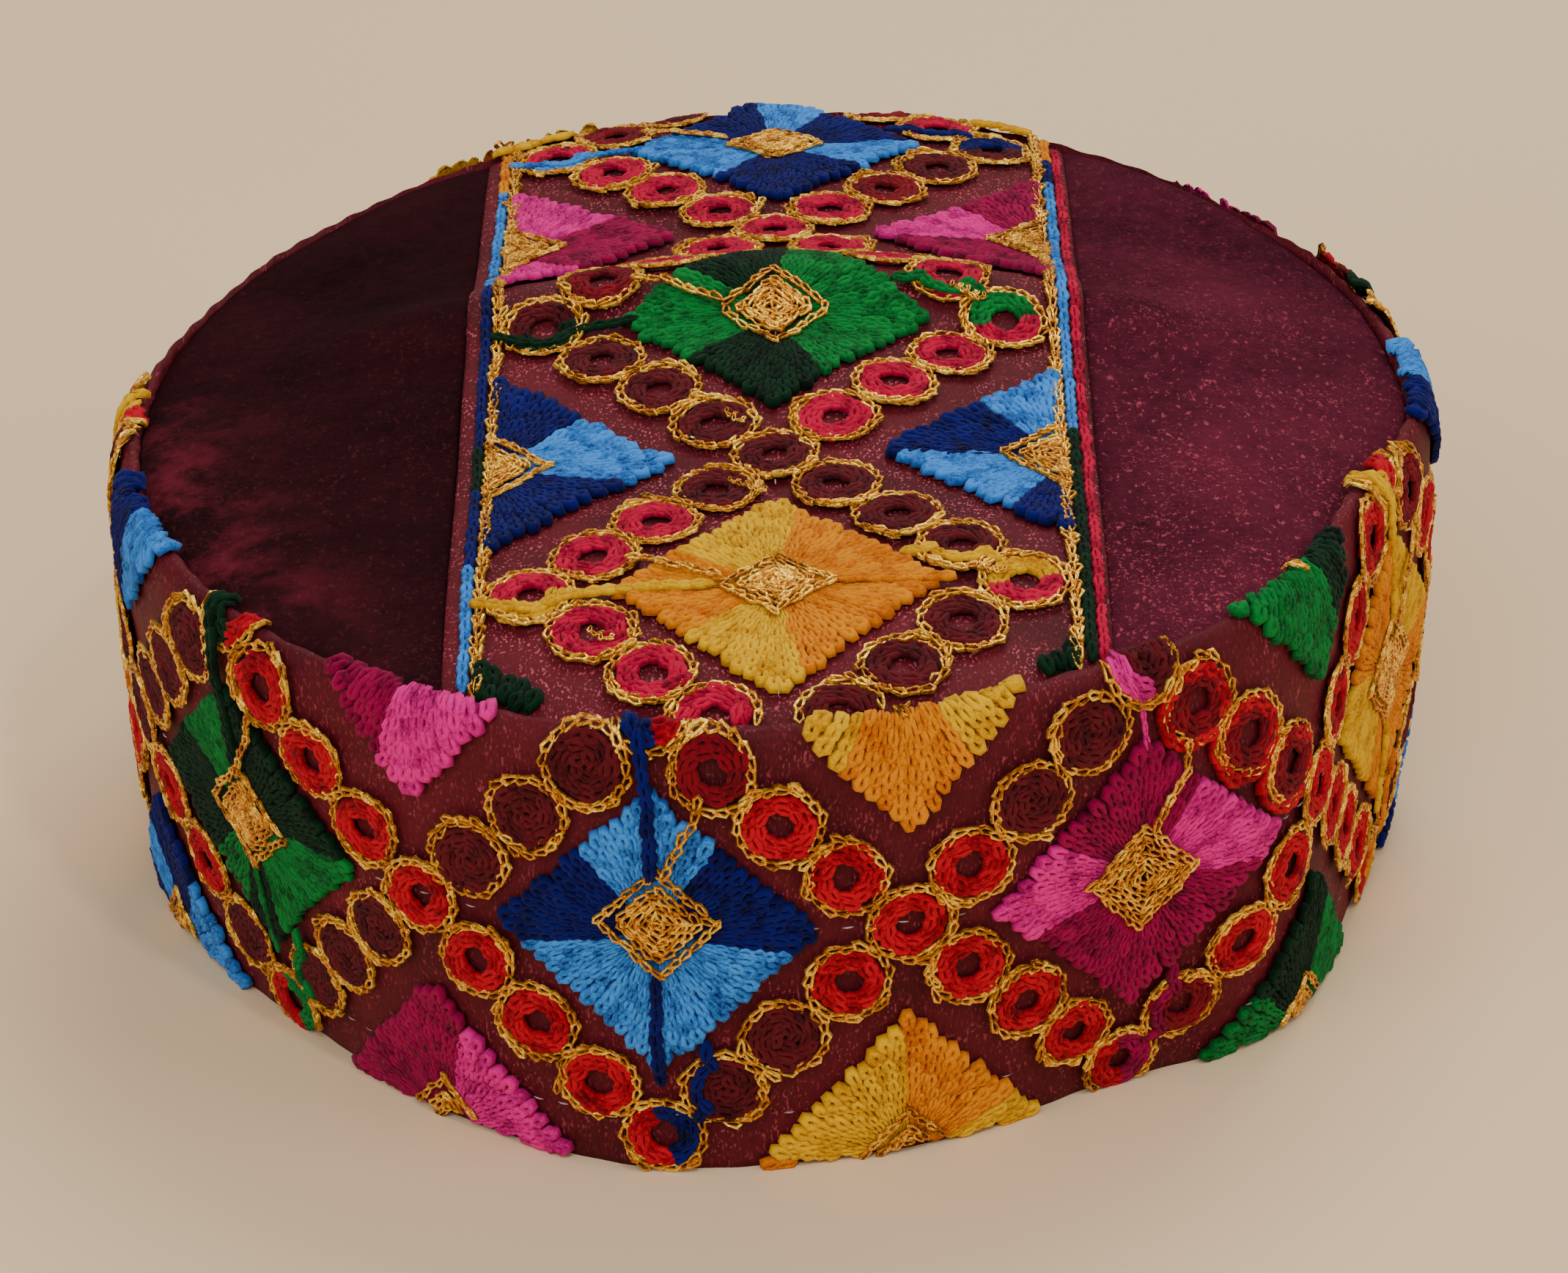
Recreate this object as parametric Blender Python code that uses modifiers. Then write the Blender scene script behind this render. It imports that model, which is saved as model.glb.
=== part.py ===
"""A round flat-topped cap of cloth: an upright embroidered band, an embroidered strip over the crown and two
velvet panels beside it. Metres, +Z up, the front of the cap towards -Y, the hem standing on Z = 0."""

from math import atan2, cos, degrees, hypot, pi, radians, sin, sqrt

import bmesh
import bpy

# Cap as a whole
HEM_RADIUS = 0.0923
SEAM_RADIUS = 0.0946
SEAM_HEIGHT = 0.0706
DOME_RISE = 0.0094
# The crown leans back over the hem, so this puts the origin under the middle of the whole cap
CENTRE_X = -0.0003
CENTRE_Y = 0.0033

# Cloth
BAND_THICKNESS = 0.0022
CROWN_THICKNESS = 0.0020
SEAM_GAP = 0.0003

# Band: it bellies slightly, then rolls over at the top and runs down to the crown seam
SHOULDER_DROP = 0.0068
SHOULDER_OVERHANG = 0.0041
BELLY = 0.0009
ROLL_CENTRE = 0.0017
ROLL_HALF_WIDTH = SHOULDER_OVERHANG - ROLL_CENTRE
ROLL_HEIGHT = 0.0077
# The roll turns right over at the front, and stops at the shoulder round the back, where the crown covers it
FRONT_ROLL_TURN = radians(120)
BACK_ROLL_TURN = radians(62)
BACK_FROM = (10, 42)  # bearings in degrees on the right, from where the turn starts to change to where it ends
BACK_TO = (150, 184)  # the same on the left

# Crown: the strip lies proud of the velvet panels, which sag beside it
STRIP_HALF_WIDTH = 0.0462
PANEL_SAG = 0.0012
PANEL_CORNER = 0.0008

# Where the soft hem is pushed out or in, each fold fading to nothing at its half width
HEM_FOLDS = (
    # bearing in degrees, half width in degrees, size
    (-176, 38, 0.0030),
    (-140, 36, -0.0031),
    (-104, 36, 0.0033),
    (-68, 36, -0.0018),
    (-32, 34, 0.0014),
    (2, 38, -0.0030),
)

# The right side, pushed in near the front and standing out behind that: how far at three heights of the band
SIDE_FOLDS = (
    # bearing in degrees, half width in degrees, at the hem, half way up, at the seam
    (-58, 20, -0.0036, 0.0014, 0.0001),
    (-44, 20, 0.0012, 0.0019, 0.0005),
    (-29, 20, -0.0024, -0.0013, -0.0022),
    (-17, 20, -0.0023, 0.0009, -0.0043),
    (3, 20, 0.0018, 0.0004, -0.0004),
)
HEM, HALF_WAY, SEAM = 2, 3, 4

# How the crown's seam strays from a true round: the size of each wave and the bearing of one of its crests
WAVES = (
    # edge, waves round the cap, size, bearing of a crest in degrees
    ("seam radius", 1, 0.0030, 97),
    ("seam radius", 2, 0.0015, 67),
    ("seam radius", 3, 0.0005, -21),
    ("seam height", 1, 0.0008, 91),
    ("seam height", 2, 0.0013, -76),
    ("seam height", 3, 0.0012, -35),
)

# Folds across the crown from side to side: a broad hollow in front of the middle, a ridge behind it with a steeper
# back, and a shallow hollow at the back
CROWN_FOLDS = (
    # y, how far it reaches to the front, how far to the back, height
    (-0.027, 0.040, 0.032, -0.0028),
    (0.019, 0.016, 0.017, 0.0043),
    (0.050, 0.022, 0.045, -0.0018),
)
FOLD_END = 0.082  # x at which the folds have faded to nothing

# Soft hollows in the velvet panels, each a long oval
DENTS = (
    # x, y, half length, half width, bearing of its length in degrees, depth
    (0.066, 0.056, 0.026, 0.009, 108, 0.0016),
    (0.079, 0.040, 0.022, 0.007, 115, 0.0010),
    (-0.070, 0.040, 0.030, 0.012, 70, 0.0008),
    (-0.078, -0.020, 0.026, 0.009, 95, 0.0007),
)

# Facets
BAND_COLUMNS = 120
WALL_ROWS = 4
ROLL_ROWS = 5
STRIP_ROWS = 40
STRIP_COLUMNS = 10
PANEL_ROWS = 32
PANEL_COLUMNS = 9
WELD = 1e-6


def clear_scene():
    for obj in list(bpy.data.objects):
        bpy.data.objects.remove(obj, do_unlink=True)


def waves(edge, bearing):
    """How far the cloth strays on one edge at one bearing."""
    return sum(
        size * cos(turns * (bearing - radians(crest)))
        for name, turns, size, crest in WAVES
        if name == edge
    )


def swell(rows, column, bearing):
    """The sum of the rounded swellings of a table at one bearing, each fading to nothing at its half width."""
    total = 0.0
    for row in rows:
        away = abs((degrees(bearing) - row[0] + 180) % 360 - 180)
        if away < row[1]:
            total += row[column] * (1 + cos(pi * away / row[1])) / 2
    return total


def hem_radius(bearing):
    return HEM_RADIUS + swell(HEM_FOLDS, HEM, bearing) + swell(SIDE_FOLDS, HEM, bearing)


def seam_radius(bearing):
    return SEAM_RADIUS + waves("seam radius", bearing) + swell(SIDE_FOLDS, SEAM, bearing)


def seam_height(bearing):
    return SEAM_HEIGHT + waves("seam height", bearing)


def smooth_step(value, low, high):
    share = min(max((value - low) / (high - low), 0.0), 1.0)
    return share * share * (3 - 2 * share)


def roll_turn(bearing):
    """How far the band's top edge rolls over at one bearing."""
    turn = degrees(bearing) % 360
    back = smooth_step(turn, *BACK_FROM) - smooth_step(turn, *BACK_TO)
    return FRONT_ROLL_TURN + (BACK_ROLL_TURN - FRONT_ROLL_TURN) * back


def in_frame(x, y, z):
    """From the axis through the hem's middle to the cap's own frame."""
    return (x - CENTRE_X, y - CENTRE_Y, z)


def dents(x, y):
    depth = 0.0
    for dent_x, dent_y, half_length, half_width, bearing, most in DENTS:
        turn = radians(bearing)
        along = (x - dent_x) * cos(turn) + (y - dent_y) * sin(turn)
        across = (y - dent_y) * cos(turn) - (x - dent_x) * sin(turn)
        away = hypot(along / half_length, across / half_width)
        if away < 1:
            depth += most * (1 + cos(pi * away)) / 2
    return depth


def folds(x, y):
    height = 0.0
    for fold_y, to_front, to_back, most in CROWN_FOLDS:
        away = abs(y - fold_y) / (to_back if y > fold_y else to_front)
        if away < 1:
            height += most * (1 + cos(pi * away)) / 2
    return height * (1 - smooth_step(abs(x), STRIP_HALF_WIDTH, FOLD_END))


def crown_height(x, y):
    """The dome's outer face at one point of the plan, with folds that fade out at the rim."""
    bearing = atan2(y, x)
    share = min(hypot(x, y) / seam_radius(bearing), 1.0)
    dome = SEAM_HEIGHT + waves("seam height", bearing) * share + DOME_RISE * (1 - share**2)
    return dome + folds(x, y) * (1 - share**6)


def panel_height(x, y):
    bearing = atan2(y, x)
    share = min(hypot(x, y) / seam_radius(bearing), 1.0)
    return crown_height(x, y) - PANEL_SAG * (1 - share**4) - dents(x, y)


def crown_radius(bearing):
    """Where the crown ends, a gap short of the band's rolled edge."""
    return seam_radius(bearing) + ROLL_CENTRE + ROLL_HALF_WIDTH * cos(roll_turn(bearing)) - SEAM_GAP


def rim_at(x, side):
    """The y of the crown's rim at one x: side is -1 for the front and 1 for the back."""
    y = side * sqrt(SEAM_RADIUS**2 - x**2)
    for _ in range(6):
        y = side * sqrt(crown_radius(atan2(y, x)) ** 2 - x**2)
    return y


def cloth_material(name, colour, roughness, sheen):
    material = bpy.data.materials.new(name)
    material.use_nodes = True
    shader = material.node_tree.nodes["Principled BSDF"]
    shader.inputs["Base Color"].default_value = (*colour, 1.0)
    shader.inputs["Roughness"].default_value = roughness
    shader.inputs["Metallic"].default_value = 0.0
    shader.inputs["Sheen Weight"].default_value = sheen
    material.diffuse_color = (*colour, 1.0)
    return material


def bent_grid(name, columns, rows, place, material, collection):
    """A grid primitive laid over place(u, v), with the edges that meet made one."""
    mesh = bpy.data.meshes.new(name)
    bm = bmesh.new()
    bmesh.ops.create_grid(bm, x_segments=columns, y_segments=rows, size=1.0)
    for vert in bm.verts:
        u = (vert.co.x + 1) / 2
        v = (vert.co.y + 1) / 2
        vert.co = in_frame(*place(u, v))
    bmesh.ops.remove_doubles(bm, verts=bm.verts, dist=WELD)
    bmesh.ops.recalc_face_normals(bm, faces=bm.faces)
    bm.to_mesh(mesh)
    bm.free()
    mesh.materials.append(material)
    mesh.shade_smooth()
    mesh.set_sharp_from_angle(angle=radians(40))
    obj = bpy.data.objects.new(name, mesh)
    collection.objects.link(obj)
    return obj


def band_section(bearing):
    """The closed outline of the band's wall at one bearing, as (radius, height) pairs: up the outer face, over
    the roll, down the sewn edge and back down the inner face to the flat hem."""
    bottom = hem_radius(bearing)
    seam = seam_radius(bearing)
    top = seam_height(bearing)
    shoulder = seam + SHOULDER_OVERHANG
    shoulder_height = top - SHOULDER_DROP
    bulge = BELLY + swell(SIDE_FOLDS, HALF_WAY, bearing)
    wall = []
    for row in range(WALL_ROWS + 1):
        share = row / WALL_ROWS
        belly = 4 * bulge * share * (1 - share)
        wall.append((bottom + (shoulder - bottom) * share + belly, shoulder_height * share))
    roll = []
    for row in range(1, ROLL_ROWS + 1):
        turn = roll_turn(bearing) * row / ROLL_ROWS
        roll.append(
            (
                seam + ROLL_CENTRE + ROLL_HALF_WIDTH * cos(turn),
                shoulder_height + ROLL_HEIGHT * sin(turn),
            )
        )
    sewn_edge = (roll[-1][0], roll[-1][1] - CROWN_THICKNESS)
    inner = [(radius - BAND_THICKNESS, height) for radius, height in reversed(wall)]
    return [*wall, *roll, sewn_edge, *inner]


def make_band(material, collection):
    count = len(band_section(0.0))

    def place(u, v):
        bearing = 2 * pi * (round(u * BAND_COLUMNS) % BAND_COLUMNS) / BAND_COLUMNS
        radius, height = band_section(bearing)[round(v * count) % count]
        return (radius * cos(bearing), radius * sin(bearing), height)

    return bent_grid("side_band", BAND_COLUMNS, count, place, material, collection)


def thicken(obj):
    """Gives an open sheet the crown's thickness, on its inner side."""
    solidify = obj.modifiers.new("thickness", "SOLIDIFY")
    solidify.thickness = CROWN_THICKNESS
    solidify.offset = -1.0


def make_strip(material, collection):
    def place(u, v):
        x = STRIP_HALF_WIDTH * (2 * u - 1)
        front = rim_at(x, -1)
        y = front + (rim_at(x, 1) - front) * v
        return (x, y, crown_height(x, y))

    strip = bent_grid("crown_strip", STRIP_COLUMNS, STRIP_ROWS, place, material, collection)
    thicken(strip)


def make_panel(name, side, material, collection):
    """A D-shaped panel: side is -1 for the left of the cap and 1 for the right."""
    straight_x = side * (STRIP_HALF_WIDTH + SEAM_GAP)
    corner_x = straight_x + side * PANEL_CORNER
    back = rim_at(corner_x, 1)
    front = rim_at(corner_x, -1)

    def place(u, v):
        # Even steps of angle round the rim, from the front corner to the back one
        first = atan2(front, side * corner_x)
        last = atan2(back, side * corner_x)
        angle = first + (last - first) * v
        bearing = angle if side > 0 else pi - angle
        radius = crown_radius(bearing)
        rim_x = radius * cos(bearing)
        y = radius * sin(bearing)
        x = straight_x + (rim_x - straight_x) * u
        return (x, y, panel_height(x, y))

    panel = bent_grid(name, PANEL_COLUMNS, PANEL_ROWS, place, material, collection)
    thicken(panel)


def main():
    clear_scene()
    collection = bpy.data.collections.new("round_cap")
    bpy.context.scene.collection.children.link(collection)
    ribbon = cloth_material("embroidered ribbon", (0.095, 0.012, 0.021), 0.55, 0.2)
    velvet = cloth_material("maroon velvet", (0.040, 0.007, 0.014), 0.85, 0.6)
    make_band(ribbon, collection)
    make_strip(ribbon, collection)
    make_panel("crown_panel_left", -1, velvet, collection)
    make_panel("crown_panel_right", 1, velvet, collection)


main()
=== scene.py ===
"""The looks of a round cloth cap: satin ribbon with wool and gold chain-stitch, and velvet crown sides."""

import bpy
import numpy as np
from mathutils import Matrix, Vector


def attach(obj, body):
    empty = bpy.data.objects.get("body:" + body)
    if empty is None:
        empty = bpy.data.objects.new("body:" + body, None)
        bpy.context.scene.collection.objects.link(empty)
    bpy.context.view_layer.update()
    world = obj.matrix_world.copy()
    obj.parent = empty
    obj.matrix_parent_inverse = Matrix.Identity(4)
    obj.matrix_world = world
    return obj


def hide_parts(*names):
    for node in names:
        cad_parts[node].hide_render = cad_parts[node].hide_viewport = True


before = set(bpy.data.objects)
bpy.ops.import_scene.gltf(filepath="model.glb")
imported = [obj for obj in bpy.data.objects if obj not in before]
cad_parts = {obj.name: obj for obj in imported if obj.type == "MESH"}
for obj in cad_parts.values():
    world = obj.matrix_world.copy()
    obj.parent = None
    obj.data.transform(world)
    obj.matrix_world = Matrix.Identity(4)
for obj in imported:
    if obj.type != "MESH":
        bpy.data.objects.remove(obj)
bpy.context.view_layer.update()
MM = 0.001
PI = np.pi

# Cap as a whole, as the solids have it
HEM_RADIUS = 0.0923
SEAM_RADIUS = 0.0946
SEAM_HEIGHT = 0.0706
DOME_RISE = 0.0094
CENTRE_X = -0.0003
CENTRE_Y = 0.0033
BAND_THICKNESS = 0.0022
CROWN_THICKNESS = 0.002
SHOULDER_DROP = 0.0068
SHOULDER_OVERHANG = 0.0041
BELLY = 0.0009
ROLL_CENTRE = 0.0017
ROLL_HALF_WIDTH = SHOULDER_OVERHANG - ROLL_CENTRE
ROLL_HEIGHT = 0.0077
FRONT_ROLL_TURN = np.radians(120)
BACK_ROLL_TURN = np.radians(62)
BACK_FROM = (10, 42)
BACK_TO = (150, 184)
STRIP_HALF_WIDTH = 0.0462
PANEL_SAG = 0.0012
STRIP_SHEET = 0.9 * CROWN_THICKNESS
PANEL_SHEET = 0.8 * CROWN_THICKNESS
HEM_FOLDS = (
    # bearing in degrees, half width in degrees, size
    (-176, 38, 0.003),
    (-140, 36, -0.0031),
    (-104, 36, 0.0033),
    (-68, 36, -0.0018),
    (-32, 34, 0.0014),
    (2, 38, -0.003),
)
SIDE_FOLDS = (
    # bearing in degrees, half width in degrees, at the hem, half way up, at the seam
    (-58, 20, -0.0036, 0.0014, 0.0001),
    (-44, 20, 0.0012, 0.0019, 0.0005),
    (-29, 20, -0.0024, -0.0013, -0.0022),
    (-17, 20, -0.0023, 0.0009, -0.0043),
    (3, 20, 0.0018, 0.0004, -0.0004),
)
HEM, HALF_WAY, SEAM = 2, 3, 4
WAVES = {
    # edge: waves round the cap, size, bearing of a crest in degrees
    "seam radius": ((1, 0.003, 97), (2, 0.0015, 67), (3, 0.0005, -21)),
    "seam height": ((1, 0.0008, 91), (2, 0.0013, -76), (3, 0.0012, -35)),
}
CROWN_FOLDS = (
    # y, how far it reaches to the front, how far to the back, height
    (-0.027, 0.04, 0.032, -0.0028),
    (0.019, 0.016, 0.017, 0.0043),
    (0.05, 0.022, 0.045, -0.0018),
)
FOLD_END = 0.082
DENTS = (
    # x, y, half length, half width, bearing of its length in degrees, depth
    (0.066, 0.056, 0.026, 0.009, 108, 0.0016),
    (0.079, 0.04, 0.022, 0.007, 115, 0.001),
    (-0.07, 0.04, 0.03, 0.012, 70, 0.0008),
    (-0.078, -0.02, 0.026, 0.009, 95, 0.0007),
)

# Ribbons: one pattern along u, with v across from the middle line
REPEAT = 72.8 * MM
BORDER_V = 41.2 * MM
EDGE_RING_V = 34.3 * MM
DIAMOND_U = 23.0 * MM
DIAMOND_V = 22.2 * MM
HALF_DIAMOND_REACH = 25.5 * MM
HALF_DIAMOND_BASE = 23.4 * MM
RING_RADIUS = 5.9 * MM
GOLD_SQUARE_HALF = 8.6 * MM
GOLD_FILL_HALF = 5.9 * MM
GOLD_ROW_PITCH = 1.05 * MM
BAND_STRETCH_U = 0.957
BAND_STRETCH_V = 0.985
BAND_MIDDLE = 0.03955
BAND_WANDER = 0.0004
REAR_LIFTS = (
    # bearings in degrees where threads start to ride over the seam, do, start to sink and have sunk, height
    (8, 20, 52, 56, 0.0007),
    (104, 108, 126, 129, 0.0013),
)
REAR_STOPS = (
    # the same for threads that end short of the seam and reach it again, by how much
    (56, 59, 100, 104, 0.003),
    (129, 131, 166, 174, 0.003),
)
RIPPLES = {
    # cloth: height, wavelength and seed of each kind of soft waves
    "band": ((0.00022, 0.03, 3), (0.00008, 0.007, 4)),
    "strip": ((0.00025, 0.034, 11), (0.00006, 0.007, 12)),
    "panel": ((0.00045, 0.038, 21), (0.00012, 0.012, 22)),
}
MOUND_V = 2.5 * MM
MOUND_HALF_WIDTH = 13.0 * MM
MOUND_LENGTH = 6.0 * MM
MOUND_HEIGHT = 0.6 * MM
BAND_END_GAP = 1.0 * MM
HEM_GAP = 0.6 * MM
STRIP_EDGE_GAP = 0.6 * MM
STRIP_END_GAP = 0.3 * MM
SEAM_GAP = 0.2 * MM
SEAM_REACH = 3.0 * MM
SEAM_PUCKER = 6.3 * MM
HEM_PUCKER = 8.1 * MM
HEM_SEAM_UP = 8.8 * MM
JOIN_STEP = 1.1 * MM
BAND_FIRST_BEARING = np.radians(-100.4)
BAND_JOIN_BEARING = np.radians(79.6)
STRIP_FIRST_Y = -0.0631

# Camera, from the photograph's vanishing and the cap's outline
PHOTO_WIDTH = 2139
FOCAL_PIXELS = 8234.6
CAMERA_AZIMUTH = np.radians(0.62)
CAMERA_ELEVATION = np.radians(28.9)
CAMERA_ROLL = np.radians(-1.56)
CAMERA_DISTANCE = 0.9097
CAMERA_AIM_HEIGHT = 0.0392
CAMERA_RIGHT = 0.0003
CAMERA_UP = -0.0058
SENSOR_WIDTH = 36.0

RANDOM = np.random.default_rng(20)


def waves(edge, bearing):
    return sum(size * np.cos(turns * (bearing - np.radians(crest))) for turns, size, crest in WAVES[edge])


def rounded(away):
    """A rounded swelling: 1 in its middle and 0 from a distance of 1 on."""
    return (1 + np.cos(PI * np.minimum(away, 1))) / 2


def swell(rows, column, bearing):
    """The sum of the rounded swellings of a table, each fading to nothing at its half width."""
    total = np.zeros_like(bearing)
    for row in rows:
        away = np.abs((np.degrees(bearing) - row[0] + 180) % 360 - 180) / row[1]
        total += row[column] * rounded(away)
    return total


def hem_radius(bearing):
    return HEM_RADIUS + swell(HEM_FOLDS, HEM, bearing) + swell(SIDE_FOLDS, HEM, bearing)


def seam_radius(bearing):
    return SEAM_RADIUS + waves("seam radius", bearing) + swell(SIDE_FOLDS, SEAM, bearing)


def crown_share(x, y):
    return np.minimum(np.hypot(x, y) / seam_radius(np.arctan2(y, x)), 1.0)


def smooth_step(value, low, high):
    share = np.clip((value - low) / (high - low), 0, 1)
    return share * share * (3 - 2 * share)


def roll_turn(bearing):
    """How far the band's top edge rolls over: right over at the front, to the shoulder at the back."""
    turn = np.degrees(bearing) % 360
    back = smooth_step(turn, *BACK_FROM) - smooth_step(turn, *BACK_TO)
    return FRONT_ROLL_TURN + (BACK_ROLL_TURN - FRONT_ROLL_TURN) * back


def folds(x, y):
    height = np.zeros_like(y)
    for fold_y, to_front, to_back, most in CROWN_FOLDS:
        height += most * rounded(np.abs(y - fold_y) / np.where(y > fold_y, to_back, to_front))
    return height * (1 - smooth_step(np.abs(x), STRIP_HALF_WIDTH, FOLD_END))


def crown_height(x, y):
    share = crown_share(x, y)
    bearing = np.arctan2(y, x)
    dome = SEAM_HEIGHT + waves("seam height", bearing) * share + DOME_RISE * (1 - share**2)
    return dome + folds(x, y) * (1 - share**6)


def dents(x, y):
    depth = np.zeros_like(x)
    for dent_x, dent_y, half_length, half_width, bearing, most in DENTS:
        turn = np.radians(bearing)
        along = (x - dent_x) * np.cos(turn) + (y - dent_y) * np.sin(turn)
        across = (y - dent_y) * np.cos(turn) - (x - dent_x) * np.sin(turn)
        depth += most * rounded(np.hypot(along / half_length, across / half_width))
    return depth


def ripples(cloth, x, y):
    """Smooth uneven waves, the same on each run."""
    total = np.zeros_like(x)
    for height, wavelength, seed in RIPPLES[cloth]:
        draw = np.random.default_rng(seed)
        for _ in range(7):
            turn = draw.uniform(0, 2 * PI)
            phase = draw.uniform(0, 2 * PI)
            length = wavelength * draw.uniform(0.6, 1.7)
            wave = np.sin(2 * PI * (x * np.cos(turn) + y * np.sin(turn)) / length + phase)
            total += height / 3.2 * wave
    return total


def crown_radius(bearing):
    return seam_radius(bearing) + ROLL_CENTRE + ROLL_HALF_WIDTH * np.cos(roll_turn(bearing)) - 0.0001


def rim_at(x, side):
    y = side * np.sqrt(SEAM_RADIUS**2 - x**2)
    for _ in range(6):
        y = side * np.sqrt(crown_radius(np.arctan2(y, x)) ** 2 - x**2)
    return y


def in_frame(points):
    moved = np.array(points, float)
    moved[..., 0] -= CENTRE_X
    moved[..., 1] -= CENTRE_Y
    return moved


def grid_normals(points, wrap_first=False):
    """Unit normals of a grid of points, from its two directions."""
    if wrap_first:
        padded = np.concatenate([points[-2:-1], points, points[1:2]])
        first = (padded[2:] - padded[:-2]) / 2
    else:
        first = np.gradient(points, axis=0)
    second = np.gradient(points, axis=1)
    normal = np.cross(first, second)
    return normal / np.maximum(np.linalg.norm(normal, axis=-1, keepdims=True), 1e-12)


class Band:
    """The band's outer face, as a table of points by bearing and by length up from the hem."""

    COLUMNS = 1440
    WALL_ROWS = 90
    ROLL_ROWS = 34
    ROWS = 150

    def __init__(self):
        first = BAND_JOIN_BEARING - 2 * PI
        self.bearings = np.linspace(first, BAND_JOIN_BEARING, self.COLUMNS + 1)
        bearings = self.bearings[:, None]
        seam = seam_radius(bearings)
        bottom = hem_radius(bearings)
        shoulder = seam + SHOULDER_OVERHANG
        bulge = BELLY + swell(SIDE_FOLDS, HALF_WAY, bearings)
        share = np.linspace(0, 1, self.WALL_ROWS)
        turn = roll_turn(bearings) * np.linspace(0, 1, self.ROLL_ROWS)[1:]
        wall_r = bottom + (shoulder - bottom) * share + 4 * bulge * share * (1 - share)
        wall_top = SEAM_HEIGHT + waves("seam height", bearings) - SHOULDER_DROP
        roll_r = seam + ROLL_CENTRE + ROLL_HALF_WIDTH * np.cos(turn)
        radius = np.concatenate([wall_r, roll_r], 1)
        height = np.concatenate([wall_top * share, wall_top + ROLL_HEIGHT * np.sin(turn)], 1)
        step = np.hypot(np.diff(radius, axis=1), np.diff(height, axis=1))
        length = np.concatenate([np.zeros_like(seam), np.cumsum(step, 1)], 1)
        self.total = length[:, -1]
        even = np.linspace(0, 1, self.ROWS)
        table = np.empty((self.COLUMNS + 1, self.ROWS, 3))
        for i, bearing in enumerate(self.bearings):
            r = np.interp(even * self.total[i], length[i], radius[i])
            z = np.interp(even * self.total[i], length[i], height[i])
            table[i] = np.stack([r * np.cos(bearing), r * np.sin(bearing), z], 1)
        self.table = in_frame(table)
        middle = ((bottom + shoulder) / 2 + bulge)[:, 0]
        around = (middle[1:] + middle[:-1]) / 2 * np.diff(self.bearings)
        self.arc = np.concatenate([[0], np.cumsum(np.hypot(around, np.diff(middle)))])
        self.start = np.interp(BAND_FIRST_BEARING, self.bearings, self.arc)
        self.normals = grid_normals(self.table, wrap_first=True)
        along = np.repeat((self.arc - self.start)[:, None], self.ROWS, 1)
        self.crease(along, even[None, :] * self.total[:, None])
        self.normals = grid_normals(self.table, wrap_first=True)

    def crease(self, along, up):
        """Soft unevenness, small puckers along the crown seam and the hem, and the ribbon's lapped join."""
        left = self.total[:, None] - up
        lift = ripples("band", along, up)
        pucker = np.sin(2 * PI * along / SEAM_PUCKER + 2.5 * np.sin(along / 0.017))
        lift += 0.00016 * pucker * np.exp(-left / 0.006)
        lift += 0.0001 * np.sin(2 * PI * along / HEM_PUCKER) * np.exp(-up / 0.004)
        lift -= 0.00035 * np.exp(-((up - HEM_SEAM_UP) ** 2) / 0.0008**2)
        from_join = along - along[:1]
        to_join = along[-1:] - along
        fade = np.minimum(1, left / 0.008)
        lift += (JOIN_STEP * np.exp(-from_join / 0.004) - 0.0002 * np.exp(-to_join / 0.003)) * fade
        self.table += self.normals * lift[..., None]
        self.table[..., 2] = np.maximum(self.table[..., 2], 0.0)

    def limits(self):
        return (-self.start / BAND_STRETCH_U, (self.arc[-1] - self.start) / BAND_STRETCH_U)

    def height_up(self, u, v):
        return v * BAND_STRETCH_V + BAND_MIDDLE + BAND_WANDER * np.cos(PI * u / REPEAT)

    def across_at(self, u):
        """The bearing at u and the length from the hem to the crown seam there."""
        bearing = np.interp(u * BAND_STRETCH_U + self.start, self.arc, self.bearings)
        return bearing, np.interp(bearing, self.bearings, self.total)

    def inside(self, u, v):
        low, high = self.limits()
        bearing, total = self.across_at(u)
        up = self.height_up(u, v)
        short = SEAM_GAP + over_windows(REAR_STOPS, bearing)
        within = (u > low + BAND_END_GAP) & (u < high - BAND_END_GAP)
        return within & (up > HEM_GAP) & (up < total - short)

    def place(self, u, v, h):
        bearing, total = self.across_at(u)
        up = self.height_up(u, v)
        i = (bearing - self.bearings[0]) / (self.bearings[1] - self.bearings[0])
        j = np.clip(up / total, 0, 1) * (self.ROWS - 1)
        over_seam = over_windows(REAR_LIFTS, bearing) * np.exp(-np.maximum(total - up, 0) / SEAM_REACH)
        placed = look_up(self.table, self.normals, i, j, h + over_seam)
        placed[..., 2] = np.maximum(placed[..., 2], 0.0001)
        return placed


class Strip:
    """The strip's outer face, over the crown from front to back."""

    COLUMNS = 121
    ROWS = 301

    def __init__(self):
        self.x = np.linspace(-STRIP_HALF_WIDTH, STRIP_HALF_WIDTH, self.COLUMNS)
        self.y = np.linspace(-0.104, 0.104, self.ROWS)
        x, y = np.meshgrid(self.x, self.y, indexing="ij")
        self.table = in_frame(np.stack([x, y, strip_height(x, y)], -1))
        self.normals = grid_normals(self.table)

    def inside(self, u, v):
        x = -v
        y = STRIP_FIRST_Y + u
        reach = crown_radius(np.arctan2(y, x))
        within = np.hypot(x, y) < reach - STRIP_END_GAP
        return within & (np.abs(x) < STRIP_HALF_WIDTH - STRIP_EDGE_GAP)

    def place(self, u, v, h):
        x = -v
        y = STRIP_FIRST_Y + u
        i = (x - self.x[0]) / (self.x[1] - self.x[0])
        j = (y - self.y[0]) / (self.y[1] - self.y[0])
        return look_up(self.table, self.normals, i, j, h + rear_mound(x, y))


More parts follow.
